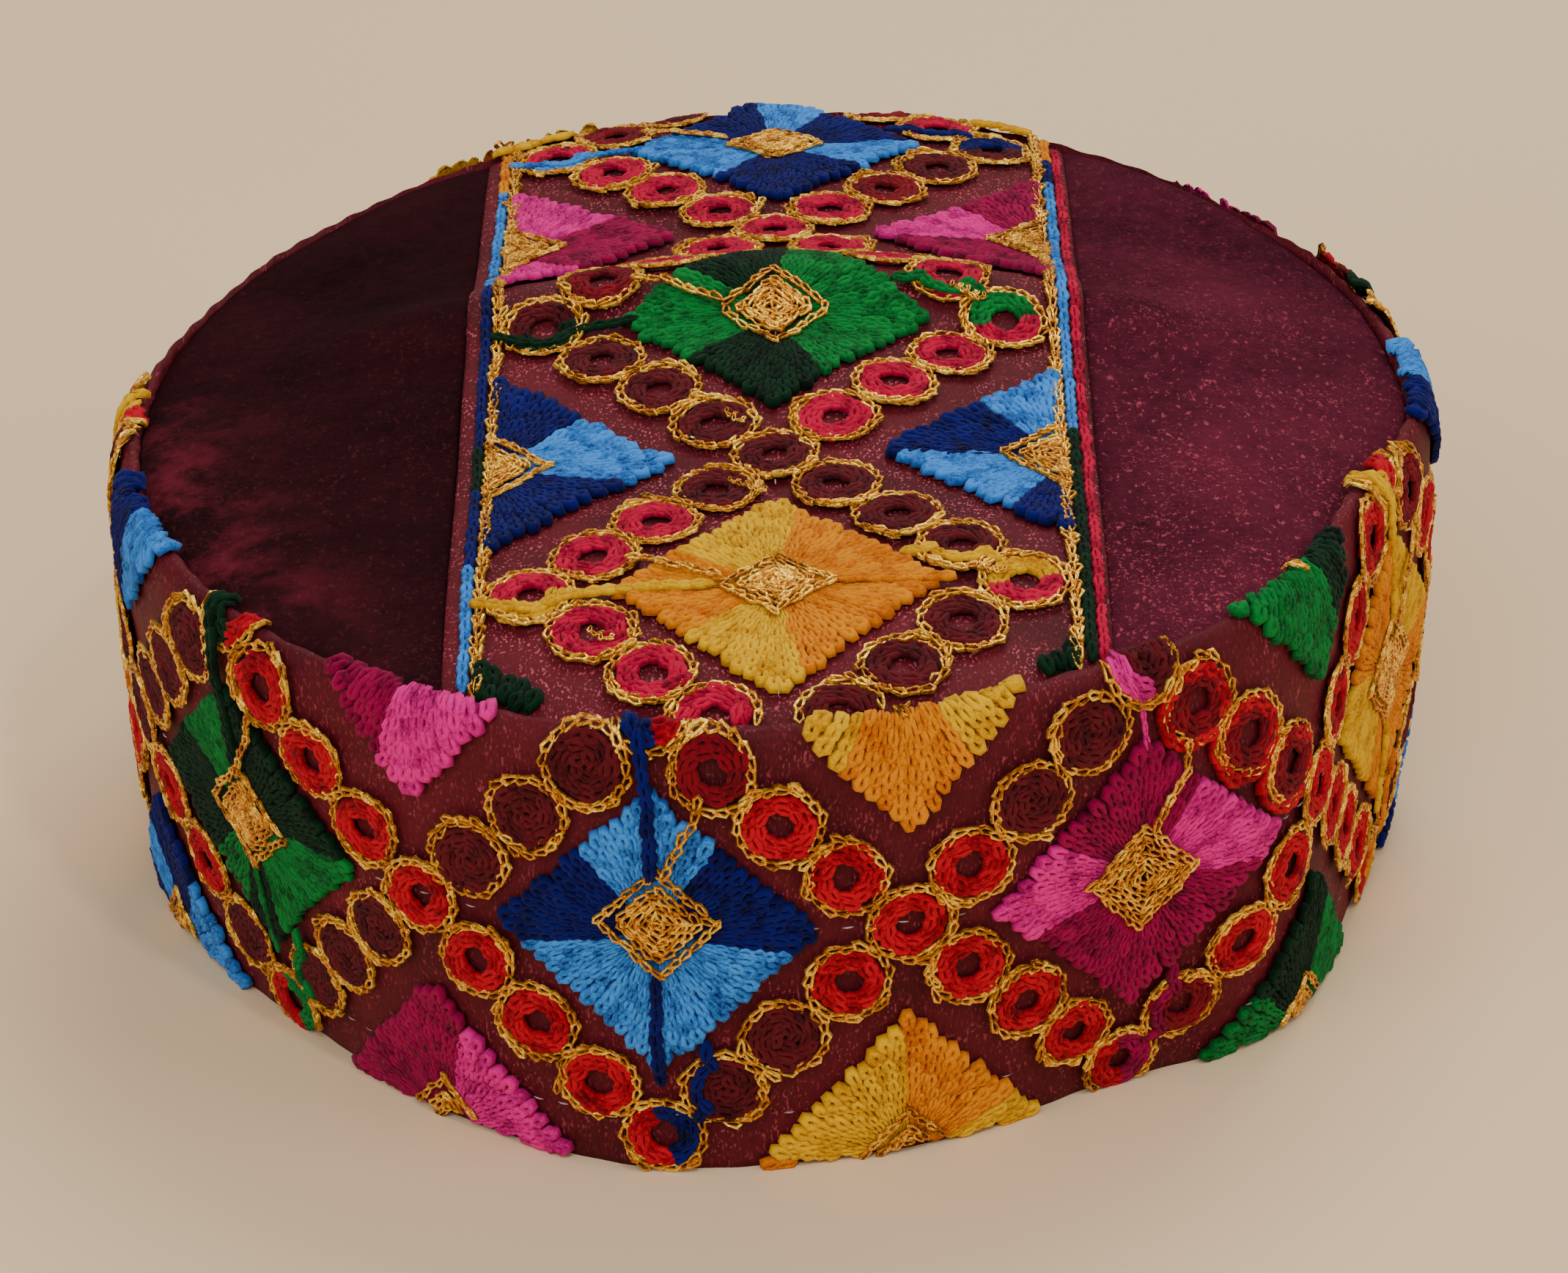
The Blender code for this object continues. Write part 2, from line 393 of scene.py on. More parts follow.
def over_windows(table, bearing):
    """The sum of the heights of a table's windows of bearing."""
    turn = np.degrees(bearing) % 360
    total = np.zeros(np.shape(turn))
    for start, full, wane, end, height in table:
        total += height * (smooth_step(turn, start, full) - smooth_step(turn, wane, end))
    return total


def look_up(table, normals, i, j, h):
    """Points of a grid between its rows and columns, lifted h along the normal."""
    i = np.clip(i, 0, table.shape[0] - 1.001)
    j = np.clip(j, 0, table.shape[1] - 1.001)
    i0 = i.astype(int)
    j0 = j.astype(int)
    a = (i - i0)[..., None]
    b = (j - j0)[..., None]
    result = []
    for grid in (table, normals):
        low = grid[i0, j0] * (1 - a) + grid[i0 + 1, j0] * a
        high = grid[i0, j0 + 1] * (1 - a) + grid[i0 + 1, j0 + 1] * a
        result.append(low * (1 - b) + high * b)
    return result[0] + result[1] * np.asarray(h)[..., None]


def rim_dip(x, y, depth, width):
    """A height that is full on the crown's seam and fades away from it."""
    left = crown_radius(np.arctan2(y, x)) - np.hypot(x, y)
    return depth * np.exp(-np.maximum(left, 0) / width)


def rear_mound(x, y):
    """How far the last diamond stands up where the rear seam squeezes it."""
    across = rounded(np.abs(-x - MOUND_V) / MOUND_HALF_WIDTH)
    return smooth_step(y, 0, 0.02) * across * rim_dip(x, y, MOUND_HEIGHT, MOUND_LENGTH)


def strip_height(x, y):
    edge = (STRIP_HALF_WIDTH - np.abs(x)) / 0.0011
    round_edge = 0.0006 * (1 - np.sqrt(np.clip(1 - (1 - np.clip(edge, 0, 1)) ** 2, 0, 1)))
    soft = ripples("strip", x, y) + rear_mound(x, y)
    return crown_height(x, y) + soft - round_edge - rim_dip(x, y, 0.0009, 0.0016)


def panel_height(x, y):
    share = crown_share(x, y)
    tuck = 0.0005 * np.exp(-(np.abs(x) - STRIP_HALF_WIDTH) / 0.0015)
    sag = PANEL_SAG * (1 - share**4) + dents(x, y)
    return crown_height(x, y) + ripples("panel", x, y) - sag - tuck - rim_dip(x, y, 0.001, 0.0018)


# Meshes from arrays
def mesh_piece(name, points, faces, material, strand=None, smooth=True):
    """An object from an array of points and an array of triangles or quads."""
    mesh = bpy.data.meshes.new(name)
    corners = faces.shape[1]
    mesh.vertices.add(len(points))
    mesh.vertices.foreach_set("co", points.astype(np.float32).ravel())
    mesh.loops.add(faces.size)
    mesh.loops.foreach_set("vertex_index", faces.astype(np.int32).ravel())
    mesh.polygons.add(len(faces))
    mesh.polygons.foreach_set("loop_start", np.arange(0, faces.size, corners, dtype=np.int32))
    mesh.polygons.foreach_set("use_smooth", np.full(len(faces), smooth))
    mesh.update(calc_edges=True)
    if strand is not None:
        layer = mesh.attributes.new("strand", "FLOAT_VECTOR", "POINT")
        layer.data.foreach_set("vector", strand.astype(np.float32).ravel())
    mesh.materials.append(material)
    obj = bpy.data.objects.new(name, mesh)
    bpy.context.scene.collection.objects.link(obj)
    return obj


def index_grid(rows, columns):
    return np.arange(rows * columns).reshape(rows, columns)


def grid_quads(index):
    return np.stack([index[:-1, :-1], index[1:, :-1], index[1:, 1:], index[:-1, 1:]], -1).reshape(-1, 4)


def slab_faces(rows, columns):
    """Quads of a closed slab: the top grid first, then the bottom one, then the walls."""
    index = index_grid(rows, columns)
    under = index + rows * columns
    rim = np.concatenate([index[:-1, 0], index[-1, :-1], index[:0:-1, -1], index[0, :0:-1]])
    after = np.roll(rim, -1)
    walls = np.stack([after, rim, rim + rows * columns, after + rows * columns], -1)
    bottom = grid_quads(under)[:, [0, 3, 2, 1]]
    return np.concatenate([grid_quads(index), bottom, walls])


def sheet_piece(name, x, y, height, thickness, material):
    """A closed sheet of cloth under a grid of points."""
    top = in_frame(np.stack([x, y, height], -1))
    normals = grid_normals(top)
    under = top - normals * thickness * np.sign(normals[..., 2].mean())
    points = np.concatenate([top.reshape(-1, 3), under.reshape(-1, 3)])
    faces = slab_faces(*x.shape)
    corner = points[faces[len(faces) // 5]]
    outwards = np.cross(corner[1] - corner[0], corner[2] - corner[0])[2] > 0
    return mesh_piece(name, points, faces if outwards else faces[:, ::-1], material)


# Materials
def srgb(red, green, blue):
    share = np.array([red, green, blue]) / 255
    linear = np.where(share <= 0.04045, share / 12.92, ((share + 0.055) / 1.055) ** 2.4)
    return (*[float(c) for c in linear], 1.0)


def add_node(kind, inputs, **settings):
    """A new node in the tree of the sockets among its inputs. The other inputs are set to their values."""
    sockets = {key: value for key, value in inputs.items() if isinstance(value, bpy.types.NodeSocket)}
    tree = next(iter(sockets.values())).id_data
    node = tree.nodes.new(kind)
    for key, value in settings.items():
        setattr(node, key, value)
    for key, value in inputs.items():
        if key in sockets:
            tree.links.new(value, node.inputs[key])
        else:
            node.inputs[key].default_value = value
    return node


def new_material(name, settings):
    """A material with its shader and the piece's own coordinates, in metres."""
    material = bpy.data.materials.new(name)
    material.use_nodes = True
    nodes = material.node_tree.nodes
    shader = nodes["Principled BSDF"]
    for key, value in settings.items():
        shader.inputs[key].default_value = value
    return material, shader, nodes.new("ShaderNodeTexCoord").outputs["Object"]


def noise(place, scale, detail=2.0, roughness=0.5):
    settings = {"Vector": place, "Scale": scale, "Detail": detail, "Roughness": roughness}
    return add_node("ShaderNodeTexNoise", settings).outputs["Fac"]


def ramp(value, low, high):
    """Value spread over 0 to 1 between low and high."""
    node = add_node("ShaderNodeMapRange", {"Value": value, "From Min": low, "From Max": high})
    return node.outputs["Result"]


def mixed(share, first, second):
    return add_node("ShaderNodeMix", {0: share, 6: first, 7: second}, data_type="RGBA").outputs[2]


def finish(shader, colour, height, distance, strength):
    """Gives a shader its colour and its bump."""
    bump = add_node("ShaderNodeBump", {"Height": height, "Distance": distance, "Strength": strength})
    links = shader.id_data.links
    links.new(colour, shader.inputs["Base Color"])
    links.new(bump.outputs["Normal"], shader.inputs["Normal"])


def stretched(place, x, y, z):
    return add_node("ShaderNodeMapping", {"Vector": place, "Scale": (x, y, z)}).outputs["Vector"]


def math_node(operation, first, second):
    return add_node("ShaderNodeMath", {0: first, 1: second}, operation=operation).outputs[0]


def times(first, second):
    return math_node("MULTIPLY", first, second)


def split(vector):
    parts = add_node("ShaderNodeSeparateXYZ", {"Vector": vector}).outputs
    return parts["X"], parts["Y"], parts["Z"]


def strand_parts(shader):
    """A link's place round and own shade, and its strand's coordinates stretched into fine fibres."""
    attribute = shader.id_data.nodes.new("ShaderNodeAttribute")
    attribute.attribute_name = "strand"
    strand = attribute.outputs["Vector"]
    _, around, shade = split(strand)
    return around, shade, stretched(strand, 1.6, 4.5, 41.0)


def painted_side_shade_at_edges(round_place, low, high):
    """A mask of painted shade: 0 on top of a strand, growing to 1 down its two sides."""
    side = times(math_node("SUBTRACT", round_place, 0.5), 2.0)
    return ramp(math_node("ABSOLUTE", side, 0.0), low, high)


def weighted(*rows):
    """The sum of values, each times its weight."""
    total = 0.0
    for value, weight in rows:
        total = math_node("ADD", times(value, weight), total)
    return total


def wool_material(name, deep, lit):
    """Wool yarn: twisted fibres, each link its own tone and mottled by fuzz, with painted shade down each
    strand's sides where strands meet and the lit colour kept to their tops.
    """
    deep, lit = srgb(*deep), srgb(*lit)
    settings = {"Roughness": 0.95, "Sheen Weight": 0.05, "Sheen Roughness": 0.5, "Specular IOR Level": 0.06}
    material, shader, place = new_material(name, settings)
    around, shade, fibres = strand_parts(shader)
    twist = noise(fibres, 1.0, 3.0, 0.65)
    fuzz = noise(place, 1500, 3.0, 0.7)
    patch = noise(place, 210, 2.0)
    tone = weighted((shade, 0.35), (twist, 0.55), (fuzz, 0.8), (patch, 0.55))
    lit_share = ramp(tone, 0.8, 1.26)
    # Painted shade: the colour darkens down each strand's sides, and the lit colour stays on its top.
    painted_side_shade = painted_side_shade_at_edges(around, 0.4, 1.15)
    lit_share = times(lit_share, math_node("SUBTRACT", 1.0, painted_side_shade))
    # The painted shade colour, a darker copy of the deep colour.
    dark = tuple(channel * 0.42 for channel in deep[:3]) + (1.0,)
    ground = mixed(times(painted_side_shade, 0.85), deep, dark)
    rough = weighted((twist, 0.6), (noise(place, 2300, 3.0, 0.75), 0.7))
    finish(shader, mixed(lit_share, ground, lit), rough, 0.00038, 0.9)
    return material


def gold_material():
    """Flat metal thread wound on a core: amber, with painted glints of a bright pale gold and painted shade
    down each strand's sides.
    """
    settings = {"Metallic": 0.75, "Roughness": 0.3, "Specular IOR Level": 0.5}
    material, shader, place = new_material("gold thread", settings)
    around, shade, fibres = strand_parts(shader)
    turns = noise(fibres, 1.1, 1.0, 0.5)
    glint = noise(place, 1100, 2.0, 0.6)
    tone = weighted((shade, 0.25), (turns, 0.45), (glint, 0.75))
    amber = mixed(ramp(tone, 0.47, 0.8), srgb(106, 54, 8), srgb(240, 162, 34))
    # Painted glints: spots of bright pale gold mixed into the colour.
    bright = ramp(tone, 0.73, 0.88)
    colour = mixed(bright, amber, srgb(255, 216, 84))
    # Painted shade: dark brown down each strand's sides.
    painted_side_shade = painted_side_shade_at_edges(around, 0.5, 1.2)
    colour = mixed(times(painted_side_shade, 0.7), colour, srgb(66, 28, 8))
    finish(shader, colour, noise(place, 2200, 2.0, 0.6), 0.0002, 0.9)
    return material


def satin_material(name, painted_glint_share):
    """Maroon satin with a fine weave, with pink glitter painted into its colour as specks of highlight."""
    settings = {"Roughness": 0.65, "Specular IOR Level": 0.14}
    material, shader, place = new_material(name, settings)
    patch = noise(place, 45, 3.0)
    threads = noise(stretched(place, 1, 1, 0.25), 2300, 2.0, 0.6)
    tone = weighted((patch, 0.6), (threads, 0.4))
    base = mixed(ramp(tone, 0.32, 0.68), srgb(62, 9, 18), srgb(102, 21, 34))
    # Painted glints: fine pink specks of highlight, gathered in clusters.
    painted_glint = ramp(noise(stretched(place, 1, 0.6, 0.45), 2600, 1.0, 0.5), 0.58, 0.68)
    cluster = ramp(noise(place, 150, 3.0, 0.7), 0.42, 0.66)
    lit = times(painted_glint, math_node("ADD", times(cluster, painted_glint_share), 0.1 * painted_glint_share))
    rough = weighted((threads, 0.7), (noise(place, 1400, 2.0), 0.4))
    finish(shader, mixed(lit, base, srgb(214, 96, 116)), rough, 0.00014, 0.7)
    return material


def painted_rim_sheen(place):
    """Blotches of painted sheen along the front left part of the crown's rim."""
    x, y, _ = split(place)
    flat = add_node("ShaderNodeCombineXYZ", {"X": x, "Y": y}).outputs["Vector"]
    out = add_node("ShaderNodeVectorMath", {0: flat}, operation="LENGTH").outputs["Value"]
    near_rim = ramp(out, 0.072, 0.091)
    to_left = ramp(x, -0.05, -0.074)
    to_front = ramp(y, 0.018, -0.012)
    blotch = ramp(noise(place, 95, 4.0, 0.7), 0.42, 0.62)
    return times(times(times(near_rim, to_left), to_front), blotch)


def velvet_material(name, deep, lit, painted_glitter_share, nap):
    """Short pile, dark where seen along it: its deep and lit colours mixed in large patches as painted
    light and shade of soft folds, with painted sheen along the front left rim and a few painted glints.
    """
    deep, lit = srgb(*deep), srgb(*lit)
    settings = {"Roughness": 0.95, "Sheen Weight": nap, "Sheen Roughness": 0.35, "Specular IOR Level": 0.04}
    settings["Sheen Tint"] = lit
    material, shader, place = new_material(name, settings)
    patch = noise(place, 26, 5.0, 0.65)
    pile = noise(stretched(place, 0.6, 1.5, 1), 1300, 3.0, 0.7)
    tufts = noise(place, 420, 3.0, 0.7)
    tone = weighted((patch, 0.6), (pile, 0.2), (tufts, 0.2))
    # Painted light and shade: deep and lit colours in large soft patches, as on soft folds, with finer pile
    # texture.
    base = mixed(ramp(tone, 0.36, 0.64), deep, lit)
    _, fore, _ = split(place)
    towards_front = math_node("ADD", times(ramp(fore, 0.055, -0.02), 0.7), 0.3)
    where = ramp(noise(place, 60, 3.0, 0.6), 0.4, 0.62)
    # Painted sheen: a lighter pink-red in blotches along the front left rim.
    base = mixed(times(painted_rim_sheen(place), 0.75), base, srgb(104, 30, 44))
    # Painted glints: small bright specks, more towards the front.
    fine = ramp(noise(place, 1700, 2.0, 0.6), 0.58, 0.68)
    coarse = ramp(noise(stretched(place, 1.0, 0.6, 1), 1150, 2.0, 0.7), 0.6, 0.69)
    painted_glitter = weighted((times(fine, where), 0.6), (coarse, 0.6))
    painted_glitter = times(painted_glitter, towards_front)
    colour = mixed(times(painted_glitter, painted_glitter_share), base, srgb(190, 84, 100))
    finish(shader, colour, weighted((pile, 0.7), (tufts, 0.8)), 0.00045, 0.7)
    return material


WOOLS = {
    # name: deep colour, lit colour
    "red": ((92, 0, 16), (196, 6, 34)),
    "crimson": ((92, 0, 26), (200, 8, 62)),
    "dark_red": ((64, 4, 12), (130, 14, 30)),
    "dark": ((44, 6, 12), (98, 22, 30)),
    "navy": ((2, 2, 36), (12, 16, 104)),
    "sky": ((2, 44, 124), (66, 148, 238)),
    "dark_green": ((0, 9, 5), (6, 44, 22)),
    "green": ((0, 48, 16), (14, 126, 52)),
    "raspberry": ((76, 0, 32), (156, 7, 72)),
    "magenta": ((134, 0, 78), (236, 30, 148)),
    "yellow": ((178, 110, 0), (236, 184, 0)),
    "orange": ((182, 80, 0), (230, 142, 0)),
}


# Stitches
LINKS = {
    # kind: points round the loop, then in widths: half width of its middle line, half thickness, rise
    "wool": (8, 0.25, 0.31, 0.13),
    "gold": (7, 0.34, 0.22, 0.12),
    "dash": (4, 0.0, 0.5, 0.2),
}
ARCH = np.radians([200, 120, 60, -20])
LINK_UNEVEN_ACROSS = 0.025
LINK_UNEVEN_UP = 0.02
TESTED_SHARE = 0.6
DASHES_KEPT = 0.55
DASH_LENGTH = 1.6 * MM
DASH_LIFT = 0.8 * MM
STYLES = {
    # use: in mm a stitch's length, its width (None where the caller gives it) and its height above the
    # cloth, then how far stitches overlap and how uneven their direction is
    "ring": (2.0, 1.7, 0.7, 1.28, 0.13),
    "ring again": (2.1, 1.5, 1.1, 1.28, 0.2),
    "ring stray": (2.0, 2.6, 0.1, 1.5, 0.12),
    "outer turn": (2.0, 2.5, 0.1, 1.5, 0.12),
    "inner turn": (2.0, 2.1, 0.3, 1.5, 0.12),
    "outer half turn": (2.0, 2.5, 0.1, 1.5, 0.05),
    "inner half turn": (2.0, 2.1, 0.3, 1.5, 0.05),
    "ring heart": (1.8, 2.4, 0.1, 1.45, 0.05),
    "square outline": (2.0, 1.45, 1.0, 1.3, 0.14),
    "square row": (2.0, 1.5, 1.0, 1.3, 0.14),
    "tail": (2.0, 1.5, 1.9, 1.3, 0.12),
    "curl": (1.2, 0.8, 1.7, 1.3, 0.1),
    "spike above": (2.1, None, 0.9, 1.45, 0.05),
    "spike below": (2.1, None, 1.0, 1.45, 0.05),
    "travel": (2.1, 2.2, 0.8, 1.45, 0.05),
    "rear row": (1.7, 2.4, 0.9, 1.5, 0.3),
    "border": (2.0, 1.8, 0.6, 1.28, 0.14),
    "border again": (2.1, 1.4, 1.0, 1.28, 0.2),
    "edge line": (2.2, None, 0.2, 1.4, 0.05),
}


def lengths_along(path):
    return np.concatenate([[0], np.cumsum(np.hypot(*np.diff(path, axis=0).T))])


def points_along(path, marks):
    gone = lengths_along(path)
    return np.interp(marks, gone, path[:, 0]), np.interp(marks, gone, path[:, 1])


class Stitches:
    """Chain-stitch links on one ribbon, gathered by thread before they are made into meshes."""

    def __init__(self, ribbon, name):
        self.ribbon = ribbon
        self.name = name
        self.links = {}
        self.patches = {}

    def add_links(self, thread, u, v, turn, length, width, lift):
        row = np.stack(np.broadcast_arrays(u, v, turn, length, width, lift), -1).reshape(-1, 6)
        tip_u = row[:, 0] + np.cos(row[:, 2]) * row[:, 3] * TESTED_SHARE
        tip_v = row[:, 1] + np.sin(row[:, 2]) * row[:, 3] * TESTED_SHARE
        kept = self.ribbon.inside(row[:, 0], row[:, 1]) & self.ribbon.inside(tip_u, tip_v)
        self.links.setdefault(thread, []).append(row[kept])

    def chain(self, thread, path, style, width=None, closed=False):
        """A row of links in one of the styles along a path of (u, v) points."""
        step, usual_width, lift, overlap, uneven = STYLES[style]
        path = np.asarray(path, float)
        if closed:
            path = np.concatenate([path, path[:1]])
        count = max(int(round(lengths_along(path)[-1] / (step * MM))), 1)
        self.row(thread, path, count, (width or usual_width) * MM, lift * MM, overlap, uneven)

    def row(self, thread, path, count, width, lift, overlap, uneven):
        marks = np.linspace(0, lengths_along(path)[-1], count + 1)
        u, v = points_along(path, marks)
        turn = np.arctan2(np.diff(v), np.diff(u)) + RANDOM.normal(0, uneven, count)
        length = np.hypot(np.diff(u), np.diff(v)) * overlap
        length *= RANDOM.uniform(0.94, 1.08, count)
        wide = np.broadcast_to(width, count) * RANDOM.uniform(0.92, 1.08, count)
        self.add_links(thread, u[:-1], v[:-1], turn, length, wide, lift)

    def dashes(self, thread, path, pitch, width):
        """Short straight stitches with gaps between them."""
        path = np.asarray(path, float)
        marks = np.arange(0, lengths_along(path)[-1], pitch)
        marks = marks + RANDOM.uniform(0, pitch * 0.3, len(marks))
        marks = marks[RANDOM.uniform(0, 1, len(marks)) < DASHES_KEPT]
        u, v = points_along(path, marks)
        v = v + RANDOM.normal(0, 0.0001, len(marks))
        turn = RANDOM.normal(0, 0.06, len(marks))
        self.add_links(thread, u, v, turn, DASH_LENGTH, width, DASH_LIFT)

    @staticmethod
    def loop(kind):
        """A link's middle line as a teardrop, its sideways direction and its thickness."""
        count, reach, thickness, rise = LINKS[kind]
        if kind == "dash":
            along = np.linspace(0, 1, count)
            zero = np.zeros(count)
            swell = np.array([0.3, 1.0, 1.0, 0.3])
            return along, zero, zero, zero + 1, swell * thickness, swell * rise
        turn = np.linspace(0.12, 2 * PI - 0.12, count)
        along = (1 - np.cos(turn)) / 2
        across = np.sin(turn) * np.sin(turn / 2) / 0.77
        ahead = np.gradient(along)
        aside = np.gradient(across) * 0.5
        size = np.hypot(ahead, aside)
        swell = 0.5 + 0.5 * np.sin(turn / 2)
        high = np.abs(np.sin(turn)) * rise
        return along, across * reach, -aside / size, ahead / size, swell * thickness, high

    def link_mesh(self, thread, rows):
        kind = {"gold": "gold", "pale": "dash"}.get(thread, "wool")
        along, across, side_along, side_across, thick, high = (a[None, :, None] for a in self.loop(kind))
        u, v, turn, length, width, lift = (column[:, None, None] for column in rows.T)
        radius = thick * width
        a = along * length + side_along * radius * np.cos(ARCH)
        b = across * width + side_across * radius * np.cos(ARCH)
        b = b + RANDOM.normal(0, LINK_UNEVEN_ACROSS, b.shape) * width
        h = lift + radius * 0.5 + high * width + radius * np.sin(ARCH)
        h = h + RANDOM.normal(0, LINK_UNEVEN_UP, b.shape) * width
        points_u = u + a * np.cos(turn) - b * np.sin(turn)
        points_v = v + a * np.sin(turn) + b * np.cos(turn)
        points = self.ribbon.place(points_u, points_v, h).reshape(-1, 3)
        count, sides = along.shape[1], len(ARCH)
        first = (np.arange(count - 1)[:, None] * sides + np.arange(sides - 1)[None, :]).reshape(-1, 1)
        one = np.concatenate([first + [0, sides, 1], first + [1, sides, sides + 1]])
        faces = (one[None] + (np.arange(len(rows)) * sides * count)[:, None, None]).reshape(-1, 3)
        step = np.hypot(np.diff(along[0, :, 0]) * length[:, 0], np.diff(across[0, :, 0]) * width[:, 0])
        gone = np.concatenate([np.zeros((len(rows), 1)), np.cumsum(step, 1)], 1) / MM
        strand = np.empty((len(rows), count, sides, 3))
        strand[..., 0] = gone[:, :, None]
        strand[..., 1] = np.linspace(0, 1, sides)
        strand[..., 2] = RANDOM.uniform(0.05, 1, len(rows))[:, None, None]
        return points, faces, strand.reshape(-1, 3)

    def patch_mesh(self, patches):
        """Sheets of the thread's colour under the links, from grids of (u, v), darkened with painted shade
        where the gaps between links are.
        """
        points, faces, start = [], [], 0
        for u, v in patches:
            points.append(self.ribbon.place(u, v, np.full(u.shape, PATCH_LIFT)).reshape(-1, 3))
            quads = grid_quads(index_grid(*u.shape))
            quads = quads[self.ribbon.inside(u, v).ravel()[quads].all(axis=1)]
            faces.append(np.concatenate([quads[:, [0, 1, 2]], quads[:, [0, 2, 3]]]) + start)
            start += u.size
        points = np.concatenate(points)
        # Their strand value puts them on the sides of a strand, in the painted shade.
        return points, np.concatenate(faces), np.full((len(points), 3), 0.14)

    def build(self, materials):
        pieces = []
        for thread in sorted(set(self.links) | set(self.patches)):
            parts = []
            if thread in self.links:
                parts.append(self.link_mesh(thread, np.concatenate(self.links[thread])))
            if thread in self.patches:
                parts.append(self.patch_mesh(self.patches[thread]))
            starts = np.cumsum([0] + [len(p[0]) for p in parts])
            points = np.concatenate([p[0] for p in parts])
            faces = np.concatenate([p[1] + s for p, s in zip(parts, starts)])
            strand = np.concatenate([p[2] for p in parts])
            used, faces = np.unique(faces, return_inverse=True)
            faces = faces.reshape(-1, 3)
            piece = (f"{self.name}_{thread}", points[used], faces, materials[thread], strand[used])
            pieces.append(mesh_piece(*piece, smooth=thread != "gold"))
        return pieces


# Motifs
CORNERS = np.array([[1, 0], [0, 1], [-1, 0], [0, -1], [1, 0], [0, 1]], float)
ROWS_PER_EDGE = 14
LINK_PITCH = 1.95 * MM
FAN_OVERLAP = 1.45
FAN_UNEVEN = 0.1
FAN_LEAST_WIDTH = 1.1 * MM
FAN_INNER = GOLD_FILL_HALF * 0.95
PATCH_INSET = 1.3 * MM
PATCH_LIFT = 0.5 * MM


def on_diamond(t, half_u, half_v):
    """The point at t round a diamond: 0 at +u, 1 at +v, 2 at -u and 3 at -v."""
    t = np.asarray(t) % 4
    corner = t.astype(int)
    share = (t - corner)[..., None]
    point = CORNERS[corner] * (1 - share) + CORNERS[corner + 1] * share
    return point * np.array([half_u, half_v])


FANS = {
    # ribbon, part: for each colour, which of its threads comes first and where its fans start, meet and
    # end. A half diamond's fans start and end at its corners, which aren't listed.
    ("band", "whole"): {
        "blue": (0, -0.14, 0.62, 1.45, 2.15, 3.86),
        "magenta": (0, -0.15, 0.62, 1.6, 2.25, 3.85),
        "yellow": (0, 0.1, 1.0, 1.75, 2.7, 4.1),
        "green": (0, 0.05, 1.0, 1.6, 2.5, 2.8, 3.15, 4.05),
    },
    ("strip", "whole"): {
        "blue": (1, -0.35, 0.15, 0.75, 1.6, 2.6, 3.05, 3.65),
        "magenta": (0, -0.14, 0.62, 1.45, 2.15, 3.86),
        "yellow": (0, -0.14, 0.62, 1.45, 2.15, 3.86),
        "green": (0, -0.1, 0.6, 1.45, 2.3, 3.9),
    },
    ("band", "upper"): {
        "blue": (0, 3.0), "magenta": (1, 2.8),
        "yellow": (0, 2.6, 3.4), "green": (1, 3.25),
    },
    ("strip", "upper"): {
        "blue": (0, 2.75, 3.5), "magenta": (0, 2.45, 3.35),
        "yellow": (0, 2.6, 3.4), "green": (0, 2.6, 3.4),
    },
    ("band", "lower"): {
        "blue": (1, 0.6, 1.25, 1.7), "magenta": (0, 0.78),
        "yellow": (0, 0.3, 1.05, 1.9), "green": (1, 0.75, 1.55),
    },
    ("strip", "lower"): {
        "blue": (1, 0.45, 1.05, 1.7), "magenta": (1, 0.5, 1.1),
        "yellow": (0, 0.3, 0.98), "green": (0, 0.3, 0.98),
    },
}
SPIKES = {
    # ribbon, colour: thread above, its width and start, thread below, its width, travelling thread, in mm
    ("band", "blue"): ("navy", 2.4, 8.6, "navy", 2.2, "navy"),
    ("band", "magenta"): ("magenta", 1.1, 20.5, None, 0, "raspberry"),
    ("band", "yellow"): ("yellow", 2.2, 8.6, "yellow", 2.0, "orange"),
    ("band", "green"): ("dark_green", 2.4, 8.6, "green", 1.4, "green"),
    ("strip", "blue"): ("sky", 1.6, 20.0, None, 0, "navy"),
    ("strip", "magenta"): ("magenta", 1.6, 19.0, None, 0, "raspberry"),
    ("strip", "yellow"): ("yellow", 2.2, 8.6, "orange", 2.0, "yellow"),
    ("strip", "green"): ("dark_green", 1.8, 20.0, None, 0, "green"),
}
UPPER_HALF_SHIFT = {"blue": 1.5 * MM, "magenta": 1.3 * MM, "green": 1.6 * MM}
COLOURS = {
    # name: its two threads
    "blue": ("navy", "sky"),
    "magenta": ("magenta", "raspberry"),
    "yellow": ("yellow", "orange"),
    "green": ("dark_green", "green"),
}


